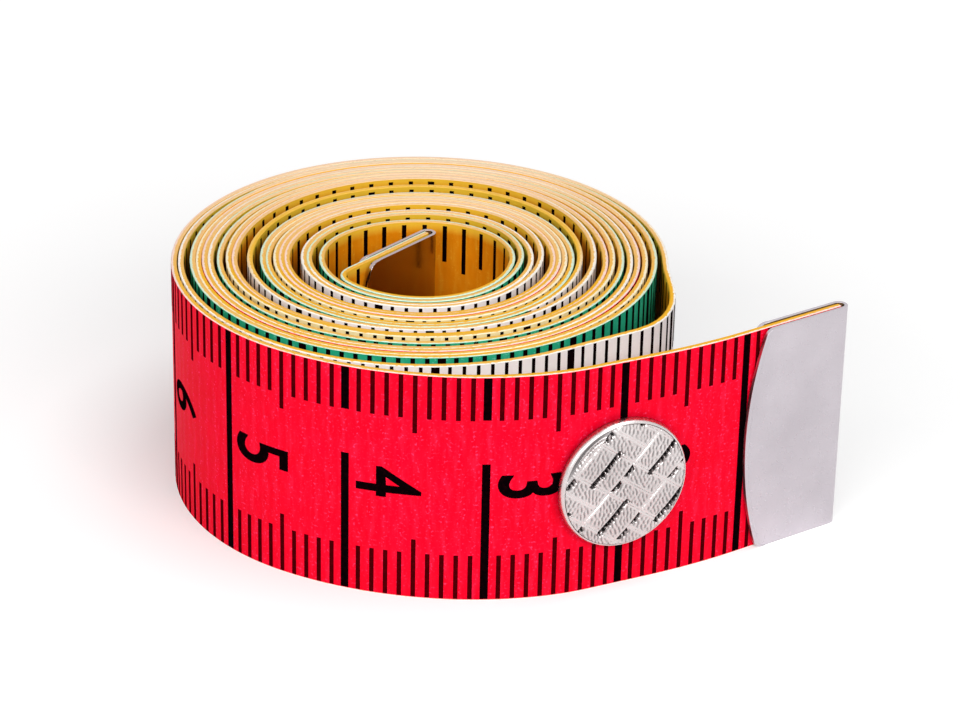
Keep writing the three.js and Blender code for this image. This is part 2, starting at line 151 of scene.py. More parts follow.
NUMBER_BOLD = 0.016  # in the font's own units, and so are the next two
NUMBER_EXTRUDE = 0.1
NUMBER_WELD = 1e-5
NUMBER_WALL = 0.5  # most that a side wall's normal leans
NUMBER_FROM_BAR = 0.82
NUMBER_MIDDLE = 9.06
NUMBER_CUT = 0.4
BOX_FACES = ((0, 1, 3, 2), (4, 6, 7, 5), (0, 4, 5, 1), (2, 3, 7, 6), (0, 2, 6, 4), (1, 5, 7, 3))

# End clips
CLIP_LENGTH = 9.2
CLIP_HALF = 0.675
CLIP_SHEET = 0.3
CLIP_EDGE_RADIUS = 26.0
CLIP_CORNER = 0.55
CLIP_BORDER = 0.34  # raised along the curved edges
CLIP_BORDER_STEP = 0.05
CLIP_BEVEL = 0.06
CLIP_CORNER_STEPS = 9
CLIP_HEIGHT_STEPS = 21
PLATE_FROM = 0.12  # share of a plate's length, where its rows of points start
PLATE_STEPS = 7
FOLD_STEPS = 17
INNER_CLIP_ASIDE = 0.12  # by which the tape lies nearer to the inner clip's back plate

# Press snap, with turned forms as rings of (radius, height): heights start SEAT_DEPTH outside mid-thickness
SNAP_ALONG = 20.2
SNAP_HEIGHT = 8.5
SNAP_SEGMENTS = 96
SNAP_BEVEL = 0.06
SOCKET_RINGS = ((1.3, -0.25), (1.3, -0.55), (2.95, -0.55), (2.95, -1.35), (2.25, -1.35), (2.25, -1.65),
                (3.4, -1.65), (3.4, -0.25))
STUD_RINGS = ((1.1, 0.1), (3.0, 0.1), (3.0, 0.4), (1.5, 0.4), (1.75, 0.75), (1.75, 1.0), (1.5, 1.25),
              (1.1, 1.25))
POST_RINGS = ((0.0, -0.55), (2.8, -0.55), (2.8, -0.25), (0.8, -0.25), (0.8, 1.05), (0.0, 1.05))
SPRING_RADIUS = 2.6
SPRING_WIRE = 0.2
SPRING_HEIGHT = -0.95
SPRING_OPENING = math.radians(40)
SPRING_STEPS = 72
SPRING_SIDES = 14
CAP_RADIUS = 5.0
CAP_TOP = 1.1
CAP_BROW = (0.25, 0.6)  # of the rounded rim, inward and down
CAP_BARREL = ((0.0, -0.85), (1.6, -0.85), (1.7, -0.75), (1.7, -0.65), (1.0, -0.65), (1.0, 0.1), (4.64, 0.1))
CAP_WALL = ((4.88, 0.34), (4.97, 0.44))
CAP_LIP = ((4.74, 1.08), (4.72, 1.0))
CAP_SEGMENTS = 480
BROW_STEPS = 9
# Painted shade, dark on the cap's wall below its rounded rim
WALL_SHADE = 0.9
WALL_SHADE_FROM = 0.3  # where the painted shade starts, in the rounded rim's height below its top
FIELD_RADIUS = 4.7
FIELD_HEIGHT = 0.84
FIELD_CROWN = 0.08
FIELD_RINGS = 94
RIM_SHADOW = 0.5  # reach of the sunk field and painted shadow under the rim, at the upper left
RIM_SHADOW_FADE = 0.12
RIM_SHADOW_FROM = (1.0, 1.22)  # where it starts and is full, as sums of sideways and up, in cap radii
# darkness of the painted shadow under the rim
RIM_SHADE = 0.75

# Basket weave stamped on the cap
PAIR = 2  # straps side by side
STRAP_WIDTHS = (1.6, 1.4)  # of the rising and the falling straps
STRAP_ANGLES = (math.radians(47), math.radians(36))
STRAP_SHIFTS = (-0.4, 0.8)  # this and what follows in strap widths, up to the reliefs
# Slots and tucked strap ends are sunk in the relief and painted dark as shadow
SLOT_HALF = 0.09  # between the two straps of a rising pair
SLOT_TEETH = 0.14
SLOT_PAST = 0.2
TUCK_REACH = 0.12  # end of a falling strap, sunk and with a painted shadow, where it passes under a rising one
TUCK_TEETH = 0.14
TUCK_HALF = 0.4
TUCK_TAPER = 0.7
GROOVE_HALF = 0.035
BORDER_WIDTH = 0.11
STAMP_SOFTNESS = 0.05
STRAP_RELIEF = 0.2
STRAP_ARCH = 0.07
GROOVE_DEPTH = 0.07
BORDER_RELIEF = 0.05
HATCH_RELIEF = 0.06
HATCH_PITCH = 0.31
HATCH_UNEVEN = 0.3  # of the pitch
HATCH_TURN = 0.65  # by which strokes lean to each side
HATCH_WAVES = 16
HATCH_CONTRAST = 0.5
HATCH_SEED = 4
# painted shade in the valleys of the hatch strokes
HATCH_SHADE = 0.6

# Angles from which an edge is drawn sharp or bevelled, in degrees
SHARP = 35
SHARP_INK = 30
SHARP_CAP = 60
SHARP_SPRING = 50
BEVEL_FROM = 40
BEVEL_SEGMENTS = 3

# Camera
CAMERA_AT = (-1.8544, -236.2658, 126.93)
CAMERA_DOWN = math.radians(26.39)
CAMERA_ROLL = math.radians(1.235)
CAMERA_LENS = 132.7
CAMERA_NEAR = 10.0
SENSOR_WIDTH = 36.0

# Studio, in metres and watts
WHITE = (1.0, 1.0, 1.0, 1.0)
FLOOR_HALF = 3.0
FLOOR_LEVEL = -0.00002
FLOOR_COLOUR = (238, 238, 238)
FLOOR_ROUGHNESS = 0.9
FLOOR_GLOW_REACH = (0.04, 0.13)  # from the part; the floor glows less near it, which is painted shade round the part
FLOOR_GLOW = (0.24, 0.5)
WORLD_LIGHT = 0.2
LAMPS = (
    # name, place, target, size, power
    ("key_softbox", (-0.02, -0.38, 0.29), (0.0, 0.0, 0.008), (0.9, 0.2), 2.6),
    ("top_softbox", (0.13, -0.05, 0.43), (0.0, 0.0, 0.0), (0.22, 0.22), 0.66),
)


def smooth(share):
    share = np.clip(share, 0, 1)
    return share * share * (3 - 2 * share)


def direction(angle):
    return np.stack([np.cos(angle), np.sin(angle)], -1)


# Plan line of the tape at mid-thickness, from its outer end to its inner end

joint_places = {joint["name"]: np.array(joint["pos_m"][:2]) / MM for joint in frame["joints"]}
free_hinge = joint_places["free_end_flex"]
tail_hinge = joint_places["inner_end_flex"]
roll_axis = free_hinge - HINGE_RADIUS * direction(LEAVE_ANGLE)


def turn_radii(outermost, gaps):
    return outermost - np.concatenate([[0], np.cumsum(np.array(gaps) + TAPE_THICKNESS)])


front_radii = turn_radii(FRONT_RADIUS, FRONT_GAPS)
back_radii = turn_radii(BACK_RADIUS, BACK_GAPS)


def ring_radius(turn, angle):
    front, back = front_radii[turn], back_radii[turn]
    sine = np.sin(angle)
    cosine = np.cos(angle)
    side = SIDE_OUTER + (SIDE_INNER - SIDE_OUTER) * turn / FULL_TURNS
    side = side - np.where(cosine > 0, RIGHT_IN * smooth(turn / RIGHT_IN_FROM), 0)
    return (front + back) / 2 + (back - front) / 2 * sine * np.abs(sine) + side * cosine ** 2


def plain_radius(wound):
    """Radius of the roll at an angle wound from the flex line, without the bulge over the stud."""
    turn = np.floor(wound / FULL_TURN).astype(int)
    angle = LEAVE_ANGLE - wound
    step = (wound - FULL_TURN * turn - (LEAVE_ANGLE - STEP_FROM + FULL_TURN)) / (STEP_FROM - STEP_TO)
    share = smooth(step)
    inner = np.minimum(turn + 1, FULL_TURNS)
    radius = (1 - share) * ring_radius(turn, angle) + share * ring_radius(inner, angle)
    return radius + LIFT * np.clip(1 - wound / LIFT_ANGLE, 0, 1) ** 2


def slope_at(radius_of, wound, step=1e-3):
    ends = radius_of(np.array([wound - step, wound + step]))
    return (ends[1] - ends[0]) / (2 * step)


def eased(wound, start, span, before, after):
    """Radius that runs without a kink from one curve, at the start of a span, to another at its end."""
    end = start + span
    share = (wound - start) / span
    square, cube = share ** 2, share ** 3
    radius = before(start) * (2 * cube - 3 * square + 1) + after(end) * (3 * square - 2 * cube)
    slopes = slope_at(before, start) * (cube - 2 * square + share) + slope_at(after, end) * (cube - square)
    return radius + span * slopes


seat_from_axis = np.array(SEAT_POINT) - roll_axis
seat_distance = seat_from_axis @ direction(SEAT_FACING) - SEAT_DEPTH
seat_middle = seat_from_axis @ direction(SEAT_FACING + math.pi / 2)


def seat_wound(across):
    return LEAVE_ANGLE + FULL_TURN - SEAT_FACING - math.atan2(across, seat_distance)


def seat_radius(wound):
    return seat_distance / np.cos(LEAVE_ANGLE - wound - SEAT_FACING)


seat_from, seat_to = seat_wound(seat_middle + SEAT_HALF), seat_wound(seat_middle - SEAT_HALF)
bulge_from, settled = seat_from - BULGE_ANGLE, seat_to + BULGE_SETTLE
tail_from_axis = tail_hinge - roll_axis
tail_angle = math.atan2(tail_from_axis[1], tail_from_axis[0])
wound_end = FULL_TURNS * FULL_TURN + (LEAVE_ANGLE - tail_angle) % FULL_TURN
end_error = np.linalg.norm(tail_from_axis) - plain_radius(wound_end)


def wound_radius(wound):
    """Radius of the roll with the flat seat of the stud, ending at the inner flex line."""
    radius = plain_radius(wound)
    rising = eased(wound, bulge_from, BULGE_ANGLE, plain_radius, seat_radius)
    falling = eased(wound, seat_to, BULGE_SETTLE, seat_radius, plain_radius)
    radius = np.where((wound > bulge_from) & (wound <= seat_from), rising, radius)
    radius = np.where((wound > seat_from) & (wound <= seat_to), seat_radius(wound), radius)
    radius = np.where((wound > seat_to) & (wound < settled), falling, radius)
    settling = SETTLE_TURNS * FULL_TURN
    return radius + end_error * smooth((wound - wound_end + settling) / settling)


def free_line():
    """Points from the flex line to the tape's end."""
    turns = np.concatenate([np.full(round(length / FREE_STEP), math.radians(turn) / length * FREE_STEP)
                            for length, turn in FREE_STRETCHES])
    window = np.ones(round(BEND_SMOOTHING / FREE_STEP))
    half = len(window) // 2
    turns = np.convolve(np.pad(turns, half, mode="edge"), window / len(window), "same")
    turns = turns[half:len(turns) - half]
    leave_heading = LEAVE_ANGLE + math.pi / 2 - math.atan2(2 * LIFT / LIFT_ANGLE, HINGE_RADIUS)
    headings = leave_heading + np.cumsum(turns) - turns / 2
    steps = direction(headings) * FREE_STEP
    return free_hinge + np.concatenate([[[0, 0]], np.cumsum(steps, 0)])


def filleted(line, corner, reach):
    """A line with its corner at that index replaced by a curve, over that reach to each side."""
    apart = np.linalg.norm(line - line[corner], axis=1)
    index = np.arange(len(line))
    before = index[(index < corner) & (apart > reach)][-1]
    after = index[(index > corner) & (apart > reach)][0]
    share = np.linspace(0, 1, after - before + 1)[:, None]
    curve = (1 - share) ** 2 * line[before] + 2 * share * (1 - share) * line[corner]
    curve = curve + share ** 2 * line[after]
    return np.concatenate([line[:before], curve, line[after + 1:]])


wound_angles = np.linspace(0, wound_end, STEPS_PER_TURN * FULL_TURNS)
wound_line = roll_axis + wound_radius(wound_angles)[:, None] * direction(LEAVE_ANGLE - wound_angles)
tail_line = tail_hinge + np.linspace(0, TAIL_LENGTH, TAIL_STEPS)[1:, None] * direction(TAIL_HEADING)
inner_line = filleted(np.concatenate([wound_line, tail_line]), len(wound_line) - 1, TAIL_FILLET)
free_part = free_line()[::-1]
flex_index = len(free_part) - 1
tape_line = np.concatenate([free_part[:-1], inner_line])
tape_steps = np.linalg.norm(np.diff(tape_line, axis=0), axis=1)
tape_along = np.concatenate([[0], np.cumsum(tape_steps)])
tape_along += FREE_FLEX - tape_along[flex_index]
tangents = np.gradient(tape_line, tape_along, axis=0)
tape_heading = np.unwrap(np.arctan2(tangents[:, 1], tangents[:, 0]))
wound_along = tape_along[flex_index:flex_index + len(wound_angles)]
TAPE_START = tape_along[0]
TAPE_END = tape_along[-1]
TAIL_FLEX = TAPE_END - TAIL_LENGTH
MEET_INNER = TAIL_FLEX - MEET_TAIL


def plan(along):
    return np.stack([np.interp(along, tape_along, axis) for axis in tape_line.T], -1)


def heading_at(along):
    return np.interp(along, tape_along, tape_heading)


def rise(along):
    waves = sum(1 + np.sin(along / wave) for wave in RISE_WAVES)
    return RISE * waves * smooth((along - RISE_FROM) / RISE_FROM) * smooth((TAIL_FLEX - along) / RISE_FROM)


def on_tape(along, height, offset):
    """Points on the tape, in metres."""
    along = np.asarray(along, float)
    place = plan(along) + direction(heading_at(along) + math.pi / 2) * np.asarray(offset)[..., None]
    level = np.broadcast_to(height + rise(along), along.shape)
    return np.concatenate([place, level[..., None]], -1) * MM


# Materials

def linear(red, green, blue):
    """Colour of a surface from its screen values, 0 to 255."""
    def channel(value):
        value /= 255
        return value / 12.92 if value <= 0.04045 else ((value + 0.055) / 1.055) ** 2.4
    return channel(red), channel(green), channel(blue), 1.0


# A band of two values is where a noise counts, and a band of four also gives the shares that it runs between.
# Noises on the tape are scaled per millimetre, and others per metre.
NOISE_BAND = (0.3, 0.7)  # where a noise mostly lies
FINE = 3.0  # details of the finer noises
FINEST = 4.0

# Coated faces of the cloth
RIB_PITCH = 1.05
RIB_WANDER = 0.6
RIB_WANDER_SCALE = 0.5
STREAK_SCALES = (3.0, 0.5)  # along and across the tape
STREAK_BAND = (0.42, 0.72)
STREAKS_ON_RIBS = (0.04, 0.24)  # from between the ribs to their tops
GRAIN_SCALE = 5.0
MOTTLE_SCALE = 0.4
SPECK_BAND = (0.58, 0.66)
SPECKS_ON_RIBS = (0.2, 0.9, 0.2, 1.0)
EDGE_LIGHT_FROM_EDGE = (0.9, 0.25)  # where the paler bands along the cut edges start and are full; at the upper edge they are painted light
FACE_ROUGHNESS = (0.5, 0.68)
FACE_SPECULAR = 0.04
FACE_BUMP = (0.3, 0.00003)  # strength, and depth in metres
FACE_COLOURS = {
    # colour, pale, dark
    "red": (linear(250, 1, 42), linear(255, 56, 104), linear(243, 1, 36)),
    "white": (linear(252, 248, 248), linear(255, 254, 254), linear(246, 240, 241)),
    "green": (linear(44, 182, 142), linear(104, 206, 176), linear(30, 162, 122)),
    "yellow": (linear(252, 240, 186), linear(255, 248, 214), linear(246, 228, 164)),
}
INNER_COLOURS = (linear(236, 142, 9), linear(255, 208, 62), linear(226, 130, 6))
OUTER_SPECKS = 0.9
INNER_SPECKS = 0.25
# painted light along the inner face's cut edges, where its rows show between the turns
INNER_PAINTED_LIGHT = 0.8

# Cut edges of the cloth, with places across them in thicknesses from the outer face
EDGE_GOLD = ((0.25, linear(246, 192, 58)), (0.7, linear(240, 176, 36)))
FIBRE_SCALE = 3.2
FIBRE_SWAY = 0.12
DARK_FIBRES = (0.58, 0.8, 0.0, 0.3)
FIBRE_COLOUR = linear(190, 128, 50)
BLOT_SCALE = 0.35
BLOTS = (0.35, 0.7, 0.0, 0.4)
BLOT_COLOUR = linear(240, 176, 48)
PALE_TURN_SCALE = 0.02
PALE_TURNS = (0.45, 0.62, 0.0, 0.35)
PALE_TURN_COLOUR = linear(248, 206, 160)
PAINTED_LIGHT_TO_BACK = (-0.003, 0.019)  # metres towards the back, between which painted light makes the edges paler
PAINTED_BACK_LIGHT_SHARE = 0.8
PAINTED_BACK_LIGHT_COLOUR = linear(252, 224, 196)
COAT_TO_BACK = (-0.012, 0.0, 0.2, 0.48)  # metres towards the back, and how far across the coat reaches
COAT_SOFTNESS = 0.12
COAT_IN_PAINTED_BACK_LIGHT = 0.4
LAPPED_TURN = 9.5  # where the golden coat laps over the cut edge
LAPPED_HALF = 26.0
LAPPED_FADE = 8.0
LAPPED_SHARE = 0.85
LAPPED_COLOUR = linear(246, 190, 52)
EDGE_ROUGHNESS = (0.7, 0.9)
EDGE_SPECULAR = 0.2
EDGE_BUMP = (0.4, 0.00004)
EDGE_COATS = {
    "red": linear(253, 224, 214),
    "white": linear(254, 250, 242),
    "green": linear(216, 241, 220),
    "yellow": linear(253, 243, 212),
}

# Ink
INK_GRAIN_SCALE = 4200.0
INK_THIN = (0.45, 0.8, 0.0, 0.6)
INK_ROUGHNESS = (0.45, 0.65)
BLACK_INK = (linear(8, 2, 4), linear(30, 4, 10))
DARK_RED_INK = (linear(66, 1, 5), linear(100, 3, 12))

# Metals
PLATING_SCALE = 260.0
PLATE_GRAIN = 5200.0
STEEL_GRAIN = 3000.0
METAL_BUMP_DEPTH = 0.00002
# Painted shade on the cap, kept as a share per point of its mesh, and the dark colour it mixes in
PAINTED_SHADE_ATTRIBUTE = "shaded_recess"
PAINTED_SHADE_COLOUR = linear(48, 44, 46)


class Nodes:
    """Node tree of a material or the world, with short calls for the nodes used here."""

    MIX_SHARE, MIX_FIRST, MIX_SECOND = 0, 6, 7  # sockets of a mix of two colours
    MIXED = 2

    def __init__(self, owner, shader):
        owner.use_nodes = True
        self.owner = owner
        self.tree = owner.node_tree
        self.shader = self.tree.nodes[shader]

    def add(self, kind, inputs=None, **settings):
        node = self.tree.nodes.new(kind)
        for name, value in settings.items():
            setattr(node, name, value)
        for name, value in (inputs or {}).items():
            self.put(node.inputs[name], value)
        return node

    def put(self, socket, value):
        if isinstance(value, bpy.types.NodeSocket):
            self.tree.links.new(value, socket)
        else:
            socket.default_value = value

    def set(self, **values):
        for name, value in values.items():
            self.put(self.shader.inputs[name.replace("_", " ")], value)

    def math(self, operation, first, second=0.0):
        return self.add("ShaderNodeMath", {0: first, 1: second}, operation=operation).outputs[0]

    def noise(self, place, scale, detail=2.0):
        node = self.add("ShaderNodeTexNoise", {"Vector": place, "Scale": scale, "Detail": detail})
        return node.outputs["Fac"]

    def spread(self, value, low, high, to_low=0.0, to_high=1.0):
        node = self.add("ShaderNodeMapRange", {"Value": value, "From Min": low, "From Max": high,
                                               "To Min": to_low, "To Max": to_high})
        return node.outputs["Result"]

    def mix(self, share, first, second):
        inputs = {self.MIX_SHARE: share, self.MIX_FIRST: first, self.MIX_SECOND: second}
        return self.add("ShaderNodeMix", inputs, data_type="RGBA").outputs[self.MIXED]

    def ramp(self, share, two_stops):
        node = self.add("ShaderNodeValToRGB", {"Fac": share})
        for element, (position, colour) in zip(node.color_ramp.elements, two_stops):
            element.position = position
            element.color = colour
        return node.outputs["Color"]

    def bump(self, height, strength, distance):
        node = self.add("ShaderNodeBump", {"Height": height, "Strength": strength, "Distance": distance})
        self.put(self.shader.inputs["Normal"], node.outputs["Normal"])

    def on_tape(self):
        return self.add("ShaderNodeUVMap", uv_map=TAPE_MAP).outputs["UV"]

    def in_space(self):
        return self.add("ShaderNodeTexCoord").outputs["Object"]

    def parts(self, place):
        outputs = self.add("ShaderNodeSeparateXYZ", {"Vector": place}).outputs
        return outputs["X"], outputs["Y"]

    def seen(self):
        """1 for what is seen, also in a mirror or through glass, and 0 for other light."""
        paths = self.add("ShaderNodeLightPath").outputs
        turned = self.math("MAXIMUM", paths["Is Glossy Ray"], paths["Is Transmission Ray"])
        return self.math("MAXIMUM", paths["Is Camera Ray"], turned)


def material_nodes(name):
    return Nodes(bpy.data.materials.new(name), "Principled BSDF")


def face_material(name, colour, pale, dark, speckled, painted_edge_light=0.0):
    """Coated cloth: ribs across the tape with a streaky coat, pale where the coat is thin, and paler bands
    along the cut edges that are painted light.
    """
    nodes = material_nodes(name)
    place = nodes.on_tape()
    along, height = nodes.parts(place)
    wander = nodes.spread(nodes.noise(place, RIB_WANDER_SCALE), 0.0, 1.0, -RIB_WANDER, RIB_WANDER)
    turned = nodes.math("MULTIPLY", nodes.math("ADD", along, wander), FULL_TURN / RIB_PITCH)
    ribs = nodes.spread(nodes.math("SINE", turned), -1.0, 1.0)
    drawn = nodes.add("ShaderNodeCombineXYZ", {"X": nodes.math("MULTIPLY", along, STREAK_SCALES[0]),
                                               "Y": nodes.math("MULTIPLY", height, STREAK_SCALES[1])})
    streaks = nodes.spread(nodes.noise(drawn.outputs["Vector"], 1.0, FINE), *STREAK_BAND)
    grain = nodes.noise(place, GRAIN_SCALE, FINE)
    shade = nodes.mix(nodes.spread(nodes.noise(place, MOTTLE_SCALE), *NOISE_BAND), dark, colour)
    streaked = nodes.math("MULTIPLY", streaks, nodes.spread(ribs, 0.0, 1.0, *STREAKS_ON_RIBS))
    shade = nodes.mix(streaked, shade, pale)
    specks = nodes.spread(grain, *SPECK_BAND, 0.0, speckled)
    specks = nodes.math("MULTIPLY", specks, nodes.spread(ribs, *SPECKS_ON_RIBS))
    shade = nodes.mix(specks, shade, pale)
    # paler bands along both cut edges: painted light at the upper one, where the rows show between the turns
    from_middle = nodes.math("ABSOLUTE", nodes.math("SUBTRACT", height, TAPE_WIDTH / 2))
    painted_light_band = (TAPE_WIDTH / 2 - inset for inset in EDGE_LIGHT_FROM_EDGE)
    shade = nodes.mix(nodes.spread(from_middle, *painted_light_band, 0.0, painted_edge_light), shade, pale)
    nodes.set(Base_Color=shade, Specular_IOR_Level=FACE_SPECULAR)
    nodes.set(Roughness=nodes.spread(grain, *NOISE_BAND, *FACE_ROUGHNESS))
    nodes.bump(nodes.math("ADD", ribs, grain), *FACE_BUMP)
    return nodes.owner


def edge_material(name, coat):
    """Cut edge: a line of the outer coat's tint, then golden cloth, with painted light that makes it paler
    towards the roll's back.
    """
    nodes = material_nodes(name)
    place = nodes.on_tape()
    along, depth = nodes.parts(place)
    fibres = nodes.noise(place, FIBRE_SCALE, FINE)
    across = nodes.math("ADD", depth, nodes.spread(fibres, *NOISE_BAND, -FIBRE_SWAY, FIBRE_SWAY))
    shade = nodes.ramp(across, EDGE_GOLD)
    shade = nodes.mix(nodes.spread(nodes.noise(place, BLOT_SCALE), *BLOTS), shade, BLOT_COLOUR)
    pale_turns = nodes.spread(nodes.noise(place, PALE_TURN_SCALE), *PALE_TURNS)
    shade = nodes.mix(pale_turns, shade, PALE_TURN_COLOUR)
    _, to_back = nodes.parts(nodes.in_space())
    # painted light: the edges are paler towards the back of the roll
    painted_back_light = nodes.spread(to_back, *PAINTED_LIGHT_TO_BACK)
    shade = nodes.mix(nodes.math("MULTIPLY", painted_back_light, PAINTED_BACK_LIGHT_SHARE), shade, PAINTED_BACK_LIGHT_COLOUR)
    coat_reach = nodes.spread(to_back, *COAT_TO_BACK)
    in_coat = nodes.spread(nodes.math("SUBTRACT", coat_reach, across), 0.0, COAT_SOFTNESS)
    coated = nodes.math("MULTIPLY", in_coat, nodes.spread(painted_back_light, 0.0, 1.0, 1.0, COAT_IN_PAINTED_BACK_LIGHT))
    shade = nodes.mix(coated, shade, coat)
    lapped_middle = float(np.interp(LAPPED_TURN * FULL_TURN, wound_angles, wound_along))
    from_lapped = nodes.math("ABSOLUTE", nodes.math("SUBTRACT", along, lapped_middle))
    lapped = nodes.spread(from_lapped, LAPPED_HALF - LAPPED_FADE, LAPPED_HALF, LAPPED_SHARE, 0.0)
    shade = nodes.mix(lapped, shade, LAPPED_COLOUR)
    shade = nodes.mix(nodes.spread(fibres, *DARK_FIBRES), shade, FIBRE_COLOUR)
    nodes.set(Base_Color=shade, Specular_IOR_Level=EDGE_SPECULAR)
    nodes.set(Roughness=nodes.spread(fibres, *NOISE_BAND, *EDGE_ROUGHNESS))
    nodes.bump(fibres, *EDGE_BUMP)
    return nodes.owner


def ink_material(name, colour, thin):
    nodes = material_nodes(name)
    grain = nodes.noise(nodes.in_space(), INK_GRAIN_SCALE, FINE)
    nodes.set(Base_Color=nodes.mix(nodes.spread(grain, *INK_THIN), colour, thin), Specular_IOR_Level=0.0)
    nodes.set(Roughness=nodes.spread(grain, *NOISE_BAND, *INK_ROUGHNESS))
    return nodes.owner


def metal_material(name, colour, dark, roughness, grain_scale, bump, with_painted_shade=False):
    """Plated sheet: fine grain, cloudy plating, and painted shade where the mesh marks it."""
    nodes = material_nodes(name)
    place = nodes.in_space()
    grain = nodes.noise(place, grain_scale, FINEST)
    clouds = nodes.noise(place, PLATING_SCALE, FINE)
    shade = nodes.mix(nodes.spread(clouds, *NOISE_BAND), dark, colour)
    if with_painted_shade:
        # painted shade, from the share kept on the mesh
        depth = nodes.add("ShaderNodeAttribute", attribute_name=PAINTED_SHADE_ATTRIBUTE).outputs["Fac"]
        shade = nodes.mix(depth, shade, PAINTED_SHADE_COLOUR)
    nodes.set(Metallic=1.0, Base_Color=shade)
    nodes.set(Roughness=nodes.spread(grain, *NOISE_BAND, *roughness))
    nodes.bump(grain, bump, METAL_BUMP_DEPTH)
    return nodes.owner


TAPE_MATERIALS = [
    *(face_material("tape_" + name, *FACE_COLOURS[name], OUTER_SPECKS) for name in COLOUR_ORDER),
    *(edge_material("cut_edge_" + name, EDGE_COATS[name]) for name in COLOUR_ORDER),
    face_material("tape_inner", *INNER_COLOURS, INNER_SPECKS, INNER_PAINTED_LIGHT),
]
FIRST_EDGE = len(COLOUR_ORDER)
INNER_INDEX = len(TAPE_MATERIALS) - 1
INKS = [ink_material("ink", *BLACK_INK), ink_material("ink_on_red", *DARK_RED_INK)]
INK, RED_INK = range(len(INKS))
nickel = metal_material("nickel", linear(201, 194, 200), linear(191, 184, 190),
                        roughness=(0.26, 0.36), grain_scale=PLATE_GRAIN, bump=0.1)
bright = metal_material("bright_nickel", linear(222, 215, 214), linear(204, 197, 196),
                        roughness=(0.2, 0.34), grain_scale=PLATE_GRAIN, bump=0.3, with_painted_shade=True)
# The inner clip's metal: the clips' nickel made smoother, with painted shade, a darker and warmer base for
# its place inside the roll
shaded_polished = metal_material("shaded_polished_nickel", linear(192, 176, 174), linear(178, 162, 160),
                          roughness=(0.1, 0.18), grain_scale=PLATE_GRAIN, bump=0.05)
steel = metal_material("plated_steel", linear(200, 198, 196), linear(172, 170, 168),
                       roughness=(0.22, 0.38), grain_scale=STEEL_GRAIN, bump=0.15)


# Meshes

def add_object(name, mesh, materials):
    for material in materials:
        mesh.materials.append(material)
    piece = bpy.data.objects.new(name, mesh)
    bpy.context.scene.collection.objects.link(piece)
    return piece


def new_mesh(name, points, faces):
    mesh = bpy.data.meshes.new(name)
    mesh.from_pydata([tuple(point) for point in points], [], faces)
    return mesh


def shade_mesh(mesh, sharp_angle):
    """Turn the faces outward, and shade the mesh smooth between its sharp edges."""
    work = bmesh.new()
    work.from_mesh(mesh)
    bmesh.ops.recalc_face_normals(work, faces=work.faces)
    work.to_mesh(mesh)
    work.free()
    mesh.polygons.foreach_set("use_smooth", [True] * len(mesh.polygons))
    mesh.set_sharp_from_angle(angle=math.radians(sharp_angle))
    return mesh


def colour_index(along):
    return int(along // COLOUR_LENGTH) % len(COLOUR_ORDER)


def make_strip(name, stations):
    """A length of tape: outer face, inner face, and the cut edges with softened corners."""
    half = TAPE_THICKNESS / 2
    cut = CUT_SOFTNESS
    section = (
        (half, cut), (half, TAPE_WIDTH - cut), (half - cut, TAPE_WIDTH), (cut - half, TAPE_WIDTH),
        (-half, TAPE_WIDTH - cut), (-half, cut), (cut - half, 0.0), (half - cut, 0.0),
    )
    corners = len(section)
    outer_side, inner_side = 0, corners // 2
    mid_thickness = 0.5
    points = np.stack([on_tape(stations, height, np.full(len(stations), offset))
                       for offset, height in section], 1).reshape(-1, 3)
    faces, kinds, coordinates = [], [], []
    for i in range(len(stations) - 1):
        colour = colour_index((stations[i] + stations[i + 1]) / 2)
        kind_of = {outer_side: colour, inner_side: INNER_INDEX}
        for j in range(corners):
            k = (j + 1) % corners
            faces.append((i * corners + j, i * corners + k, (i + 1) * corners + k, (i + 1) * corners + j))
            kinds.append(kind_of.get(j, FIRST_EDGE + colour))
            for station, corner in ((i, j), (i, k), (i + 1, k), (i + 1, j)):
                offset, height = section[corner]
                level = height if j in kind_of else (half - offset) / TAPE_THICKNESS
                coordinates.append((stations[station], level))
    last = (len(stations) - 1) * corners
    for end in (tuple(range(corners)), tuple(last + j for j in range(corners))):
        faces.append(end)
        kinds.append(FIRST_EDGE)
        coordinates.extend([(stations[0], mid_thickness)] * corners)
    mesh = new_mesh(name, points, faces)
    mesh.polygons.foreach_set("material_index", kinds)
    layer = mesh.uv_layers.new(name=TAPE_MAP)
    layer.data.foreach_set("uv", np.array(coordinates, np.float32).ravel())
    return add_object(name, shade_mesh(mesh, SHARP), TAPE_MATERIALS)


def with_changes(start, end, places):
    """Those places between a start and an end of tape, with these and each change of colour."""
    changes = np.arange(1, TAPE_END // COLOUR_LENGTH + 1) * COLOUR_LENGTH
    places = np.concatenate([places, changes])
    places = places[(places > start) & (places < end)]
    return np.unique(np.round([start, *places, end], STATION_DIGITS))


def even_stations(start, end, spacing):
    return with_changes(start, end, np.linspace(start, end, math.ceil((end - start) / spacing) + 1))


def wound_stations(start, end):
    """Places along the wound tape at the same directions on every turn."""
    count = math.ceil(wound_end / FULL_TURN * STATIONS_PER_TURN)
    angles = np.arange(count) * FULL_TURN / STATIONS_PER_TURN
    return with_changes(start, end, np.interp(angles, wound_angles, wound_along))


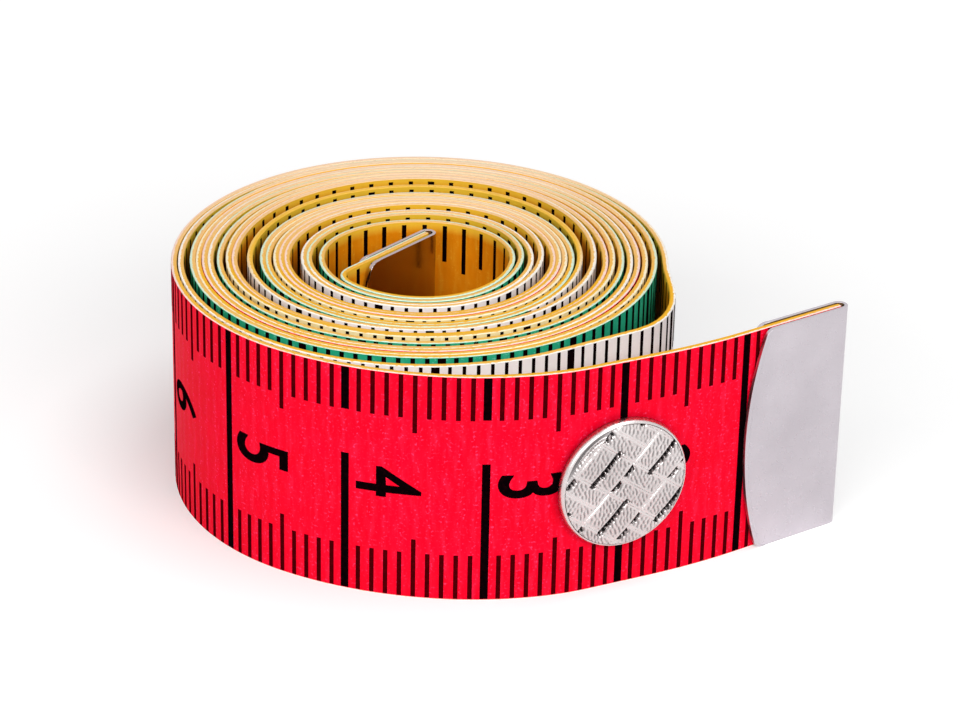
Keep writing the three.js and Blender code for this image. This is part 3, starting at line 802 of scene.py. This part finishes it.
class Marks:
    """Printed marks on one length of tape, each a thin layer of ink with its foot in the cloth."""

    def __init__(self, start, end):
        self.start, self.end = start, end
        self.points, self.faces, self.inks = [], [], []

    def layer(self, outer):
        half = TAPE_THICKNESS / 2
        return (half - INK_SUNK, half + INK_RAISED) if outer else (INK_SUNK - half, -half - INK_RAISED)

    def add(self, points, faces, ink):
        start = len(self.points)
        self.points.extend(points)
        self.faces.extend(tuple(start + i for i in face) for face in faces)
        self.inks += [ink] * len(faces)

    def bar(self, along, width, low, high, ink, outer=True):
        if not self.start <= along < self.end:
            return
        margin = OUTER_MARGIN if outer else INNER_MARGIN
        low, high = max(low, margin), min(high, TAPE_WIDTH - margin)
        corners = [(place, height, offset) for offset in self.layer(outer) for height in (low, high)
                   for place in (along - width / 2, along + width / 2)]
        self.add(on_tape(*np.array(corners).T), BOX_FACES, ink)

    def number(self, text, along, outer=True):
        if not self.start <= along < self.end:
            return
        glyphs, faces = glyph_shape(text)
        foot, top = self.layer(outer)
        places = along - glyphs[:, 1] if outer else along + glyphs[:, 1]
        offsets = np.where(glyphs[:, 2] > 0, top, foot)
        self.add(on_tape(places, NUMBER_MIDDLE - glyphs[:, 0], offsets), faces, INK)

    def piece(self, name):
        mesh = shade_mesh(new_mesh(name, self.points, self.faces), SHARP_INK)
        mesh.polygons.foreach_set("material_index", self.inks)
        return add_object(name, mesh, INKS)


@functools.cache
def glyph_shape(text):
    """Points and faces of a number: right of its middle, up from its foot, and top or foot of the ink."""
    curve = bpy.data.curves.new("number", "FONT")
    curve.body = text
    curve.extrude = NUMBER_EXTRUDE
    holder = bpy.data.objects.new("number", curve)
    bpy.context.scene.collection.objects.link(holder)
    bpy.context.view_layer.update()
    mesh = bpy.data.meshes.new_from_object(holder.evaluated_get(bpy.context.evaluated_depsgraph_get()))
    work = bmesh.new()
    work.from_mesh(mesh)
    bmesh.ops.remove_doubles(work, verts=work.verts, dist=NUMBER_WELD)
    bmesh.ops.recalc_face_normals(work, faces=work.faces)
    outward = [outline_normal(vertex) for vertex in work.verts]
    for vertex, way in zip(work.verts, outward):
        vertex.co += way * NUMBER_BOLD
    ups = [vertex.co.y for vertex in work.verts]
    foot = min(ups)
    scale = NUMBER_HEIGHT / (max(ups) - foot)
    for cut in np.arange(NUMBER_CUT, NUMBER_HEIGHT, NUMBER_CUT):
        bmesh.ops.bisect_plane(work, geom=[*work.verts, *work.edges, *work.faces],
                               plane_co=(0, foot + cut / scale, 0), plane_no=(0, 1, 0))
    work.verts.index_update()
    points = np.array([vertex.co for vertex in work.verts])
    faces = [tuple(vertex.index for vertex in face.verts) for face in work.faces]
    work.free()
    bpy.data.objects.remove(holder)
    bpy.data.curves.remove(curve)
    bpy.data.meshes.remove(mesh)
    points[:, 1] = (points[:, 1] - foot) * scale
    middle = (points[:, 0].min() + points[:, 0].max()) / 2
    points[:, 0] = (points[:, 0] - middle) * scale * NUMBER_CONDENSED
    return points, faces


def outline_normal(vertex):
    """Direction out of a number's outline at one of its points, from the side walls that meet there."""
    walls = [face.normal for face in vertex.link_faces if abs(face.normal.z) < NUMBER_WALL]
    return sum(walls, Vector()).normalized()


def print_scale(marks):
    """Centimetres on the outer face, and inches on the inner face, counted from the tape's other end."""
    for mark in range(math.ceil(TAPE_START), math.floor(TAPE_END)):
        low_too = mark < BOTH_EDGES_TO
        if mark % CM == 0:
            print_centimetre(marks, mark, low_too)
            continue
        half = mark % HALF_CM == 0
        colour = COLOUR_ORDER[colour_index(mark)]
        ink = RED_INK if colour == "red" else INK
        width = PALE_TICK if colour in PALE_COLOURS else MM_TICK
        marks.bar(mark, width, TAPE_WIDTH - (TOP_HALF_TICK if half else TOP_TICK), TAPE_WIDTH, ink)
        if low_too:
            marks.bar(mark, width, 0.0, LOW_HALF_TICK if half else LOW_TICK, ink)
    for part in range(1, math.floor((TAPE_END - TAPE_START) / INCH * INCH_PARTS)):
        print_inch_part(marks, part)


def print_centimetre(marks, mark, low_too):
    centimetre = mark // CM
    if centimetre in BROKEN_BARS:
        marks.bar(mark, CM_BAR, 0.0, BREAK_FROM, INK)
        marks.bar(mark, CM_BAR, BREAK_TO, TAPE_WIDTH, INK)
    else:
        marks.bar(mark, CM_BAR, 0.0 if low_too else TAPE_WIDTH / 2, TAPE_WIDTH, INK)
    if centimetre in NUMBERS:
        marks.number(str(centimetre), mark - NUMBER_FROM_BAR)


def print_inch_part(marks, part):
    along = TAPE_END - part * INCH / INCH_PARTS
    low_too = along < BOTH_EDGES_TO or along > TAPE_END - BOTH_EDGES_TO
    if part % INCH_PARTS == 0:
        marks.bar(along, INCH_BAR, 0.0 if low_too else TAPE_WIDTH / 2, TAPE_WIDTH, INK, outer=False)
        if low_too:
            marks.number(str(part // INCH_PARTS), along + NUMBER_FROM_BAR, outer=False)
        return
    length = max(size for step, size in INCH_TICKS.items() if part % step == 0)
    marks.bar(along, INCH_TICK, TAPE_WIDTH - length, TAPE_WIDTH, INK, outer=False)
    if low_too:
        marks.bar(along, INCH_TICK, 0.0, length, INK, outer=False)


TAPE_PIECES = (
    # name, start, end, spacing, CAD node, slot, bodies, bend, held
    ("tape_end", TAPE_START, MEET_OUTER, END_SPACING,
     "tape_free_end", "tape_outer", ("free_end", "outer_turn"), FREE_BEND, "hung"),
    ("tape_outermost", MEET_OUTER, MEET_WOUND, OUTERMOST_SPACING,
     "tape_outer_turn", "tape_outer", ("outer_turn", "roll"), PEEL_BEND, "folded"),
    ("tape_wound", MEET_WOUND, MEET_INNER, None,
     "tape_roll", "tape_wound", ("roll",), None, "folded"),
    ("tape_tail", MEET_INNER, TAPE_END, TAIL_SPACING,
     "tape_inner_end", "tape_inner", ("roll", "inner_end"), (TAIL_FLEX - TAIL_BEND, TAIL_FLEX + TAIL_BEND),
     "folded"),
)


def follow(piece, bodies, bend):
    """Let a piece move with one body; a piece given a bend has its place baked into its mesh and follows no
    body.
    """
    if bend is None:
        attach(piece, bodies[0])
        return
    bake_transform(piece)


for name, start, end, spacing, node, slot, bodies, bend, held in TAPE_PIECES:
    stations = even_stations(start, end, spacing) if spacing else wound_stations(start, end)
    strip = make_strip(name, stations)
    marks = Marks(start, end)
    print_scale(marks)
    scale = marks.piece(name.replace("tape", "scale"))
    for piece in (strip, scale):
        follow(piece, bodies, bend)
    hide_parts(node)


# Clips and snap

def frame_matrix(origin, x_angle):
    """Frame in metres with its X axis at that angle in plan, and Z up."""
    return Matrix.Translation(Vector(origin) * MM) @ Matrix.Rotation(x_angle, 4, "Z")


def place_mesh(name, points, faces, matrix, material, sharp_angle=SHARP):
    mesh = shade_mesh(new_mesh(name, np.asarray(points) * MM, faces), sharp_angle)
    mesh.transform(matrix)
    return add_object(name, mesh, [material])


def bevel(piece, width):
    modifier = piece.modifiers.new("edges", "BEVEL")
    modifier.width = width * MM
    modifier.segments = BEVEL_SEGMENTS
    modifier.limit_method = "ANGLE"
    modifier.angle_limit = math.radians(BEVEL_FROM)
    modifier.harden_normals = True


def clip_edge(height):
    """Distance from the fold's axis to a clip's curved edge, at that height."""
    middle = TAPE_WIDTH / 2
    bow = CLIP_EDGE_RADIUS - math.sqrt(CLIP_EDGE_RADIUS ** 2 - (height - middle) ** 2)
    into_corner = max(abs(height - middle) - middle + CLIP_CORNER, 0.0)
    return CLIP_LENGTH - CLIP_HALF - bow - CLIP_CORNER + math.sqrt(CLIP_CORNER ** 2 - into_corner ** 2)


def clip_section(edge):
    """Outside and lining of a clip, each from one free edge round the fold to the other."""
    shares = np.linspace(PLATE_FROM, 1, PLATE_STEPS, endpoint=False)
    fold = np.linspace(math.pi / 2, -math.pi / 2, FOLD_STEPS)

    def folded(start, level):
        plate = start + [(-edge * (1 - share), level) for share in shares]
        bend = [(level * math.cos(angle), level * math.sin(angle)) for angle in fold]
        return plate + bend + [(x, -y) for x, y in reversed(plate)]

    face = CLIP_HALF - CLIP_BORDER_STEP
    inside = CLIP_HALF - CLIP_SHEET
    border_foot = CLIP_BORDER + CLIP_BORDER_STEP - edge
    border = [(-edge, CLIP_HALF), (CLIP_BORDER - edge, CLIP_HALF), (border_foot, face)]
    return folded(border, face), folded([(-edge, inside)], inside)


def make_clip(name, along, flip, aside, metal):
    """Sheet folded over the end of the tape, its two free edges curved, with a raised border."""
    corner_heights = np.linspace(0, CLIP_CORNER, CLIP_CORNER_STEPS)
    middle_heights = np.linspace(CLIP_CORNER, TAPE_WIDTH - CLIP_CORNER, CLIP_HEIGHT_STEPS)
    heights = np.unique(np.concatenate([corner_heights, middle_heights, TAPE_WIDTH - corner_heights]))
    points, rows = [], []
    for height in heights:
        outside, lining = clip_section(clip_edge(height))
        section = outside + lining[::-1]
        rows.append(range(len(points), len(points) + len(section)))
        points.extend((x, y, height) for x, y in section)
    faces = ring_faces(rows)
    for row in (rows[0], rows[-1]):
        faces.extend(between_rims(row.start, len(outside), len(lining)))
    heading = heading_at(along)
    place = plan(along) + aside * direction(heading - math.pi / 2)
    clip = place_mesh(name, points, faces, frame_matrix((*place, 0.0), heading + flip), metal)
    bevel(clip, CLIP_BEVEL)
    return clip


def between_rims(start, outside_count, lining_count):
    """Faces that close a section between its outside and its lining, which runs the other way."""
    extra = (outside_count - lining_count) // 2
    last = start + outside_count + lining_count - 1
    faces = [tuple(range(start, start + extra + 1)) + (last,)]
    for i in range(lining_count - 1):
        outside = start + extra + i
        faces.append((outside, outside + 1, last - i - 1, last - i))
    faces.append((*range(start + outside_count - 1 - extra, start + outside_count), start + outside_count))
    return faces


def lathe(rings, segments):
    """Points and faces of a turned form about Y, a closed ring unless its first row is a tip."""
    points, rows = [], []
    angles = np.arange(segments) * FULL_TURN / segments
    for radius, height in rings:
        ring = angles if radius else angles[:1]
        rows.append(range(len(points), len(points) + len(ring)))
        points.extend((radius * math.cos(angle), height, radius * math.sin(angle)) for angle in ring)
    return points, ring_faces(rows if len(rows[0]) == 1 else rows + rows[:1])


def ring_faces(rows):
    """Faces between each row of points, closed to a ring, and the next; a row of one point is a tip."""
    faces = []
    for first, second in zip(rows, rows[1:]):
        count = max(len(first), len(second))
        for i in range(count):
            j = (i + 1) % count
            corners = (first[i % len(first)], first[j % len(first)],
                       second[j % len(second)], second[i % len(second)])
            faces.append(tuple(dict.fromkeys(corners)))
    return faces


def hatching(x, z):
    """Short uneven strokes of the stamp, from 0 in their gaps to 1."""
    chance = np.random.default_rng(HATCH_SEED)
    strokes = 0.0
    for _ in range(HATCH_WAVES):
        lean = chance.uniform(-HATCH_TURN, HATCH_TURN)
        pace = FULL_TURN / HATCH_PITCH * chance.uniform(1 - HATCH_UNEVEN, 1 + HATCH_UNEVEN)
        shift = chance.uniform(0, FULL_TURN)
        strokes = strokes + np.sin(pace * (math.cos(lean) * x + math.sin(lean) * z) + shift)
    return smooth(0.5 + HATCH_CONTRAST * strokes / math.sqrt(HATCH_WAVES))


def stamped_weave(x, z):
    """Relief of the basket weave, pairs of straps over and under others, and the painted shade of its slots,
    tucked strap ends and hatch valleys.
    """
    rise_angle, fall_angle = STRAP_ANGLES
    across_rise = (z * math.cos(rise_angle) + x * math.sin(rise_angle)) / STRAP_WIDTHS[0] + STRAP_SHIFTS[0]
    across_fall = (z * math.cos(fall_angle) - x * math.sin(fall_angle)) / STRAP_WIDTHS[1] + STRAP_SHIFTS[1]
    rising = (np.floor(across_fall / PAIR) + np.floor(across_rise / PAIR)) % 2 == 0
    run = np.where(rising, across_fall, across_rise) % PAIR
    level = np.where(rising, across_rise, across_fall)
    from_middle = np.abs(level % 1 - 0.5)
    to_end = np.minimum(run, PAIR - run)
    to_side = np.minimum(across_fall % PAIR, PAIR - across_fall % PAIR)
    hatch = hatching(x, z)
    past_slot = across_rise % PAIR - PAIR / 2
    slot_half = SLOT_HALF + np.where(past_slot < 0, SLOT_TEETH * hatch, 0)
    slot = smooth((slot_half - np.abs(past_slot)) / STAMP_SOFTNESS)
    slot = slot * np.where(rising, 1, smooth((SLOT_PAST - to_side) / STAMP_SOFTNESS))
    to_tuck = PAIR - run
    tuck = smooth((TUCK_REACH + TUCK_TEETH * hatch - to_tuck) / STAMP_SOFTNESS)
    tuck = tuck * smooth((TUCK_HALF - TUCK_TAPER * to_tuck - from_middle) / STAMP_SOFTNESS)
    # slots and tucked ends: sunk in the relief, and with painted shadow
    shaded_recess = np.maximum(slot, np.where(rising, 0, tuck))
    to_groove = np.minimum(to_end, 0.5 - from_middle)
    groove = smooth((GROOVE_HALF - to_groove) / STAMP_SOFTNESS)
    border = smooth((GROOVE_HALF + BORDER_WIDTH - to_groove) / STAMP_SOFTNESS)
    relief = STRAP_RELIEF + STRAP_ARCH * np.sin(run * math.pi / PAIR) - GROOVE_DEPTH * groove
    relief = relief + BORDER_RELIEF * border + HATCH_RELIEF * hatch * (1 - border)
    # painted shade: slots, tucked ends and hatch valleys darkened
    shade = np.maximum(shaded_recess, HATCH_SHADE * (1 - hatch) ** 2 * (1 - border))
    return relief * (1 - shaded_recess), shade


def make_cap():
    """Round cap with a rounded rim and a stamped weave; painted shade on its low wall and in the weave, and
    at the upper left the field sinks under the rim with a painted shadow.
    """
    inward, down = CAP_BROW
    brow = [(CAP_RADIUS - inward * (1 - math.cos(angle)), CAP_TOP - down * (1 - math.sin(angle)))
            for angle in np.linspace(0, math.pi / 2, BROW_STEPS)]
    outside = [*CAP_BARREL, *CAP_WALL, *brow, *CAP_LIP]
    field = [(radius, FIELD_HEIGHT) for radius in np.linspace(FIELD_RADIUS, 0, FIELD_RINGS)]
    points, faces = lathe(outside + field, CAP_SEGMENTS)
    points = np.array(points)
    order = np.arange(len(points))  # the first ring is a single point
    stamped = order > CAP_SEGMENTS * (len(outside) - 1)
    wall = order <= CAP_SEGMENTS * (len(outside) - len(CAP_LIP))
    x, z = points[:, 0], points[:, 2]
    radius = np.hypot(x, z)
    straps, shade = stamped_weave(x, z)
    shadow_from, shadow_full = RIM_SHADOW_FROM
    # the field sinks under the rim at the upper left, where a painted shadow goes
    under_rim = smooth((radius - FIELD_RADIUS + RIM_SHADOW) / RIM_SHADOW_FADE)
    under_rim = under_rim * smooth(((x + z) / CAP_RADIUS - shadow_from) / (shadow_full - shadow_from))
    lift = straps * (1 - under_rim) + FIELD_CROWN * (1 - (radius / FIELD_RADIUS) ** 2)
    points[:, 1] += np.where(stamped, lift, 0)
    # painted shade on the cap's low wall
    low_wall = smooth((CAP_TOP - points[:, 1]) / down - WALL_SHADE_FROM)
    dark = np.where(wall, WALL_SHADE * low_wall, 0.0)
    # painted shadow under the rim at the upper left, over the weave's painted shade
    dark = np.where(stamped, np.maximum(shade, RIM_SHADE * under_rim), dark)
    cap = place_mesh("snap_cap_stamped", points, faces, snap_matrix, bright, SHARP_CAP)
    # painted shade kept on the mesh for the metal
    marked = cap.data.attributes.new(PAINTED_SHADE_ATTRIBUTE, "FLOAT", "POINT")
    marked.data.foreach_set("value", dark.astype(np.float32))
    return cap


def make_spring():
    """Split ring of round wire."""
    sweep = np.linspace(SPRING_OPENING / 2, FULL_TURN - SPRING_OPENING / 2, SPRING_STEPS)
    around = np.arange(SPRING_SIDES) * FULL_TURN / SPRING_SIDES
    wire = [(SPRING_RADIUS + SPRING_WIRE * math.cos(side), SPRING_HEIGHT + SPRING_WIRE * math.sin(side))
            for side in around]
    points = [(radius * math.cos(angle), height, radius * math.sin(angle))
              for angle in sweep for radius, height in wire]
    rows = [range(step * SPRING_SIDES, (step + 1) * SPRING_SIDES) for step in range(SPRING_STEPS)]
    faces = ring_faces(rows) + [tuple(rows[0]), tuple(rows[-1])]
    return place_mesh("snap_spring_ring", points, faces, snap_matrix, steel, SHARP_SPRING)


def make_turned(name, rings, matrix):
    piece = place_mesh(name, *lathe(rings, SNAP_SEGMENTS), matrix, steel)
    bevel(piece, SNAP_BEVEL)
    return piece


snap_origin = plan(SNAP_ALONG) + direction(heading_at(SNAP_ALONG) + math.pi / 2) * SEAT_DEPTH
snap_matrix = frame_matrix((*snap_origin, SNAP_HEIGHT), heading_at(SNAP_ALONG))
stud_matrix = frame_matrix((*SEAT_POINT, SNAP_HEIGHT), SEAT_FACING - math.pi / 2)
HARDWARE = (
    # piece, body, CAD node, slot
    (make_cap(), "free_end", "snap_cap", "snap_cap_metal"),
    (make_turned("snap_socket_cup", SOCKET_RINGS, snap_matrix), "free_end", "snap_socket", "snap_metal"),
    (make_spring(), "free_end", "snap_socket_spring", "snap_metal"),
    (make_turned("snap_stud_head", STUD_RINGS, stud_matrix), "roll", "snap_stud", "snap_metal"),
    (make_turned("snap_post_pin", POST_RINGS, stud_matrix), "roll", "snap_post", "snap_metal"),
    (make_clip("outer_clip", TAPE_START, math.pi, 0.0, nickel), "free_end", "outer_end_clip", "clip_metal"),
    (make_clip("inner_clip", TAPE_END, 0.0, INNER_CLIP_ASIDE, shaded_polished),
     "inner_end", "inner_end_clip", "clip_metal"),
)
for piece, body, node, slot in HARDWARE:
    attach(piece, body)
    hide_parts(node)


# Floor, light and camera

def make_floor():
    corners = [(x * FLOOR_HALF, y * FLOOR_HALF, FLOOR_LEVEL) for x, y in ((-1, -1), (1, -1), (1, 1), (-1, 1))]
    nodes = material_nodes("floor")
    nodes.set(Base_Color=linear(*FLOOR_COLOUR), Roughness=FLOOR_ROUGHNESS, Specular_IOR_Level=0.0)
    away = nodes.add("ShaderNodeVectorMath", {0: nodes.in_space()}, operation="LENGTH").outputs["Value"]
    # painted shade: less glow near the part darkens the floor round it
    glow = nodes.spread(away, *FLOOR_GLOW_REACH, *FLOOR_GLOW)
    nodes.set(Emission_Color=WHITE, Emission_Strength=nodes.math("MULTIPLY", nodes.seen(), glow))
    floor = add_object("floor", new_mesh("floor", corners, [(0, 1, 2, 3)]), [nodes.owner])


def make_world():
    nodes = Nodes(bpy.data.worlds.new("studio"), "Background")
    nodes.set(Color=WHITE, Strength=nodes.spread(nodes.seen(), 0.0, 1.0, WORLD_LIGHT, 1.0))
    bpy.context.scene.world = nodes.owner


def add_lamp(name, place, target, size, power):
    light = bpy.data.lights.new(name, "AREA")
    light.shape = "RECTANGLE"
    light.size, light.size_y = size
    light.energy = power
    lamp = bpy.data.objects.new(name, light)
    lamp.location = place
    lamp.rotation_euler = (Vector(target) - Vector(place)).to_track_quat("-Z", "Y").to_euler()
    bpy.context.scene.collection.objects.link(lamp)


def make_camera():
    data = bpy.data.cameras.new("camera")
    data.lens = CAMERA_LENS
    data.sensor_width = SENSOR_WIDTH
    data.sensor_fit = "HORIZONTAL"
    data.clip_start = CAMERA_NEAR * MM
    camera = bpy.data.objects.new("camera", data)
    turn = Matrix.Rotation(math.pi / 2 - CAMERA_DOWN, 4, "X") @ Matrix.Rotation(CAMERA_ROLL, 4, "Z")
    camera.matrix_world = Matrix.Translation(Vector(CAMERA_AT) * MM) @ turn
    bpy.context.scene.collection.objects.link(camera)
    bpy.context.scene.camera = camera


make_floor()
make_world()
for lamp in LAMPS:
    add_lamp(*lamp)
make_camera()
bpy.context.scene.view_settings.view_transform = "Standard"
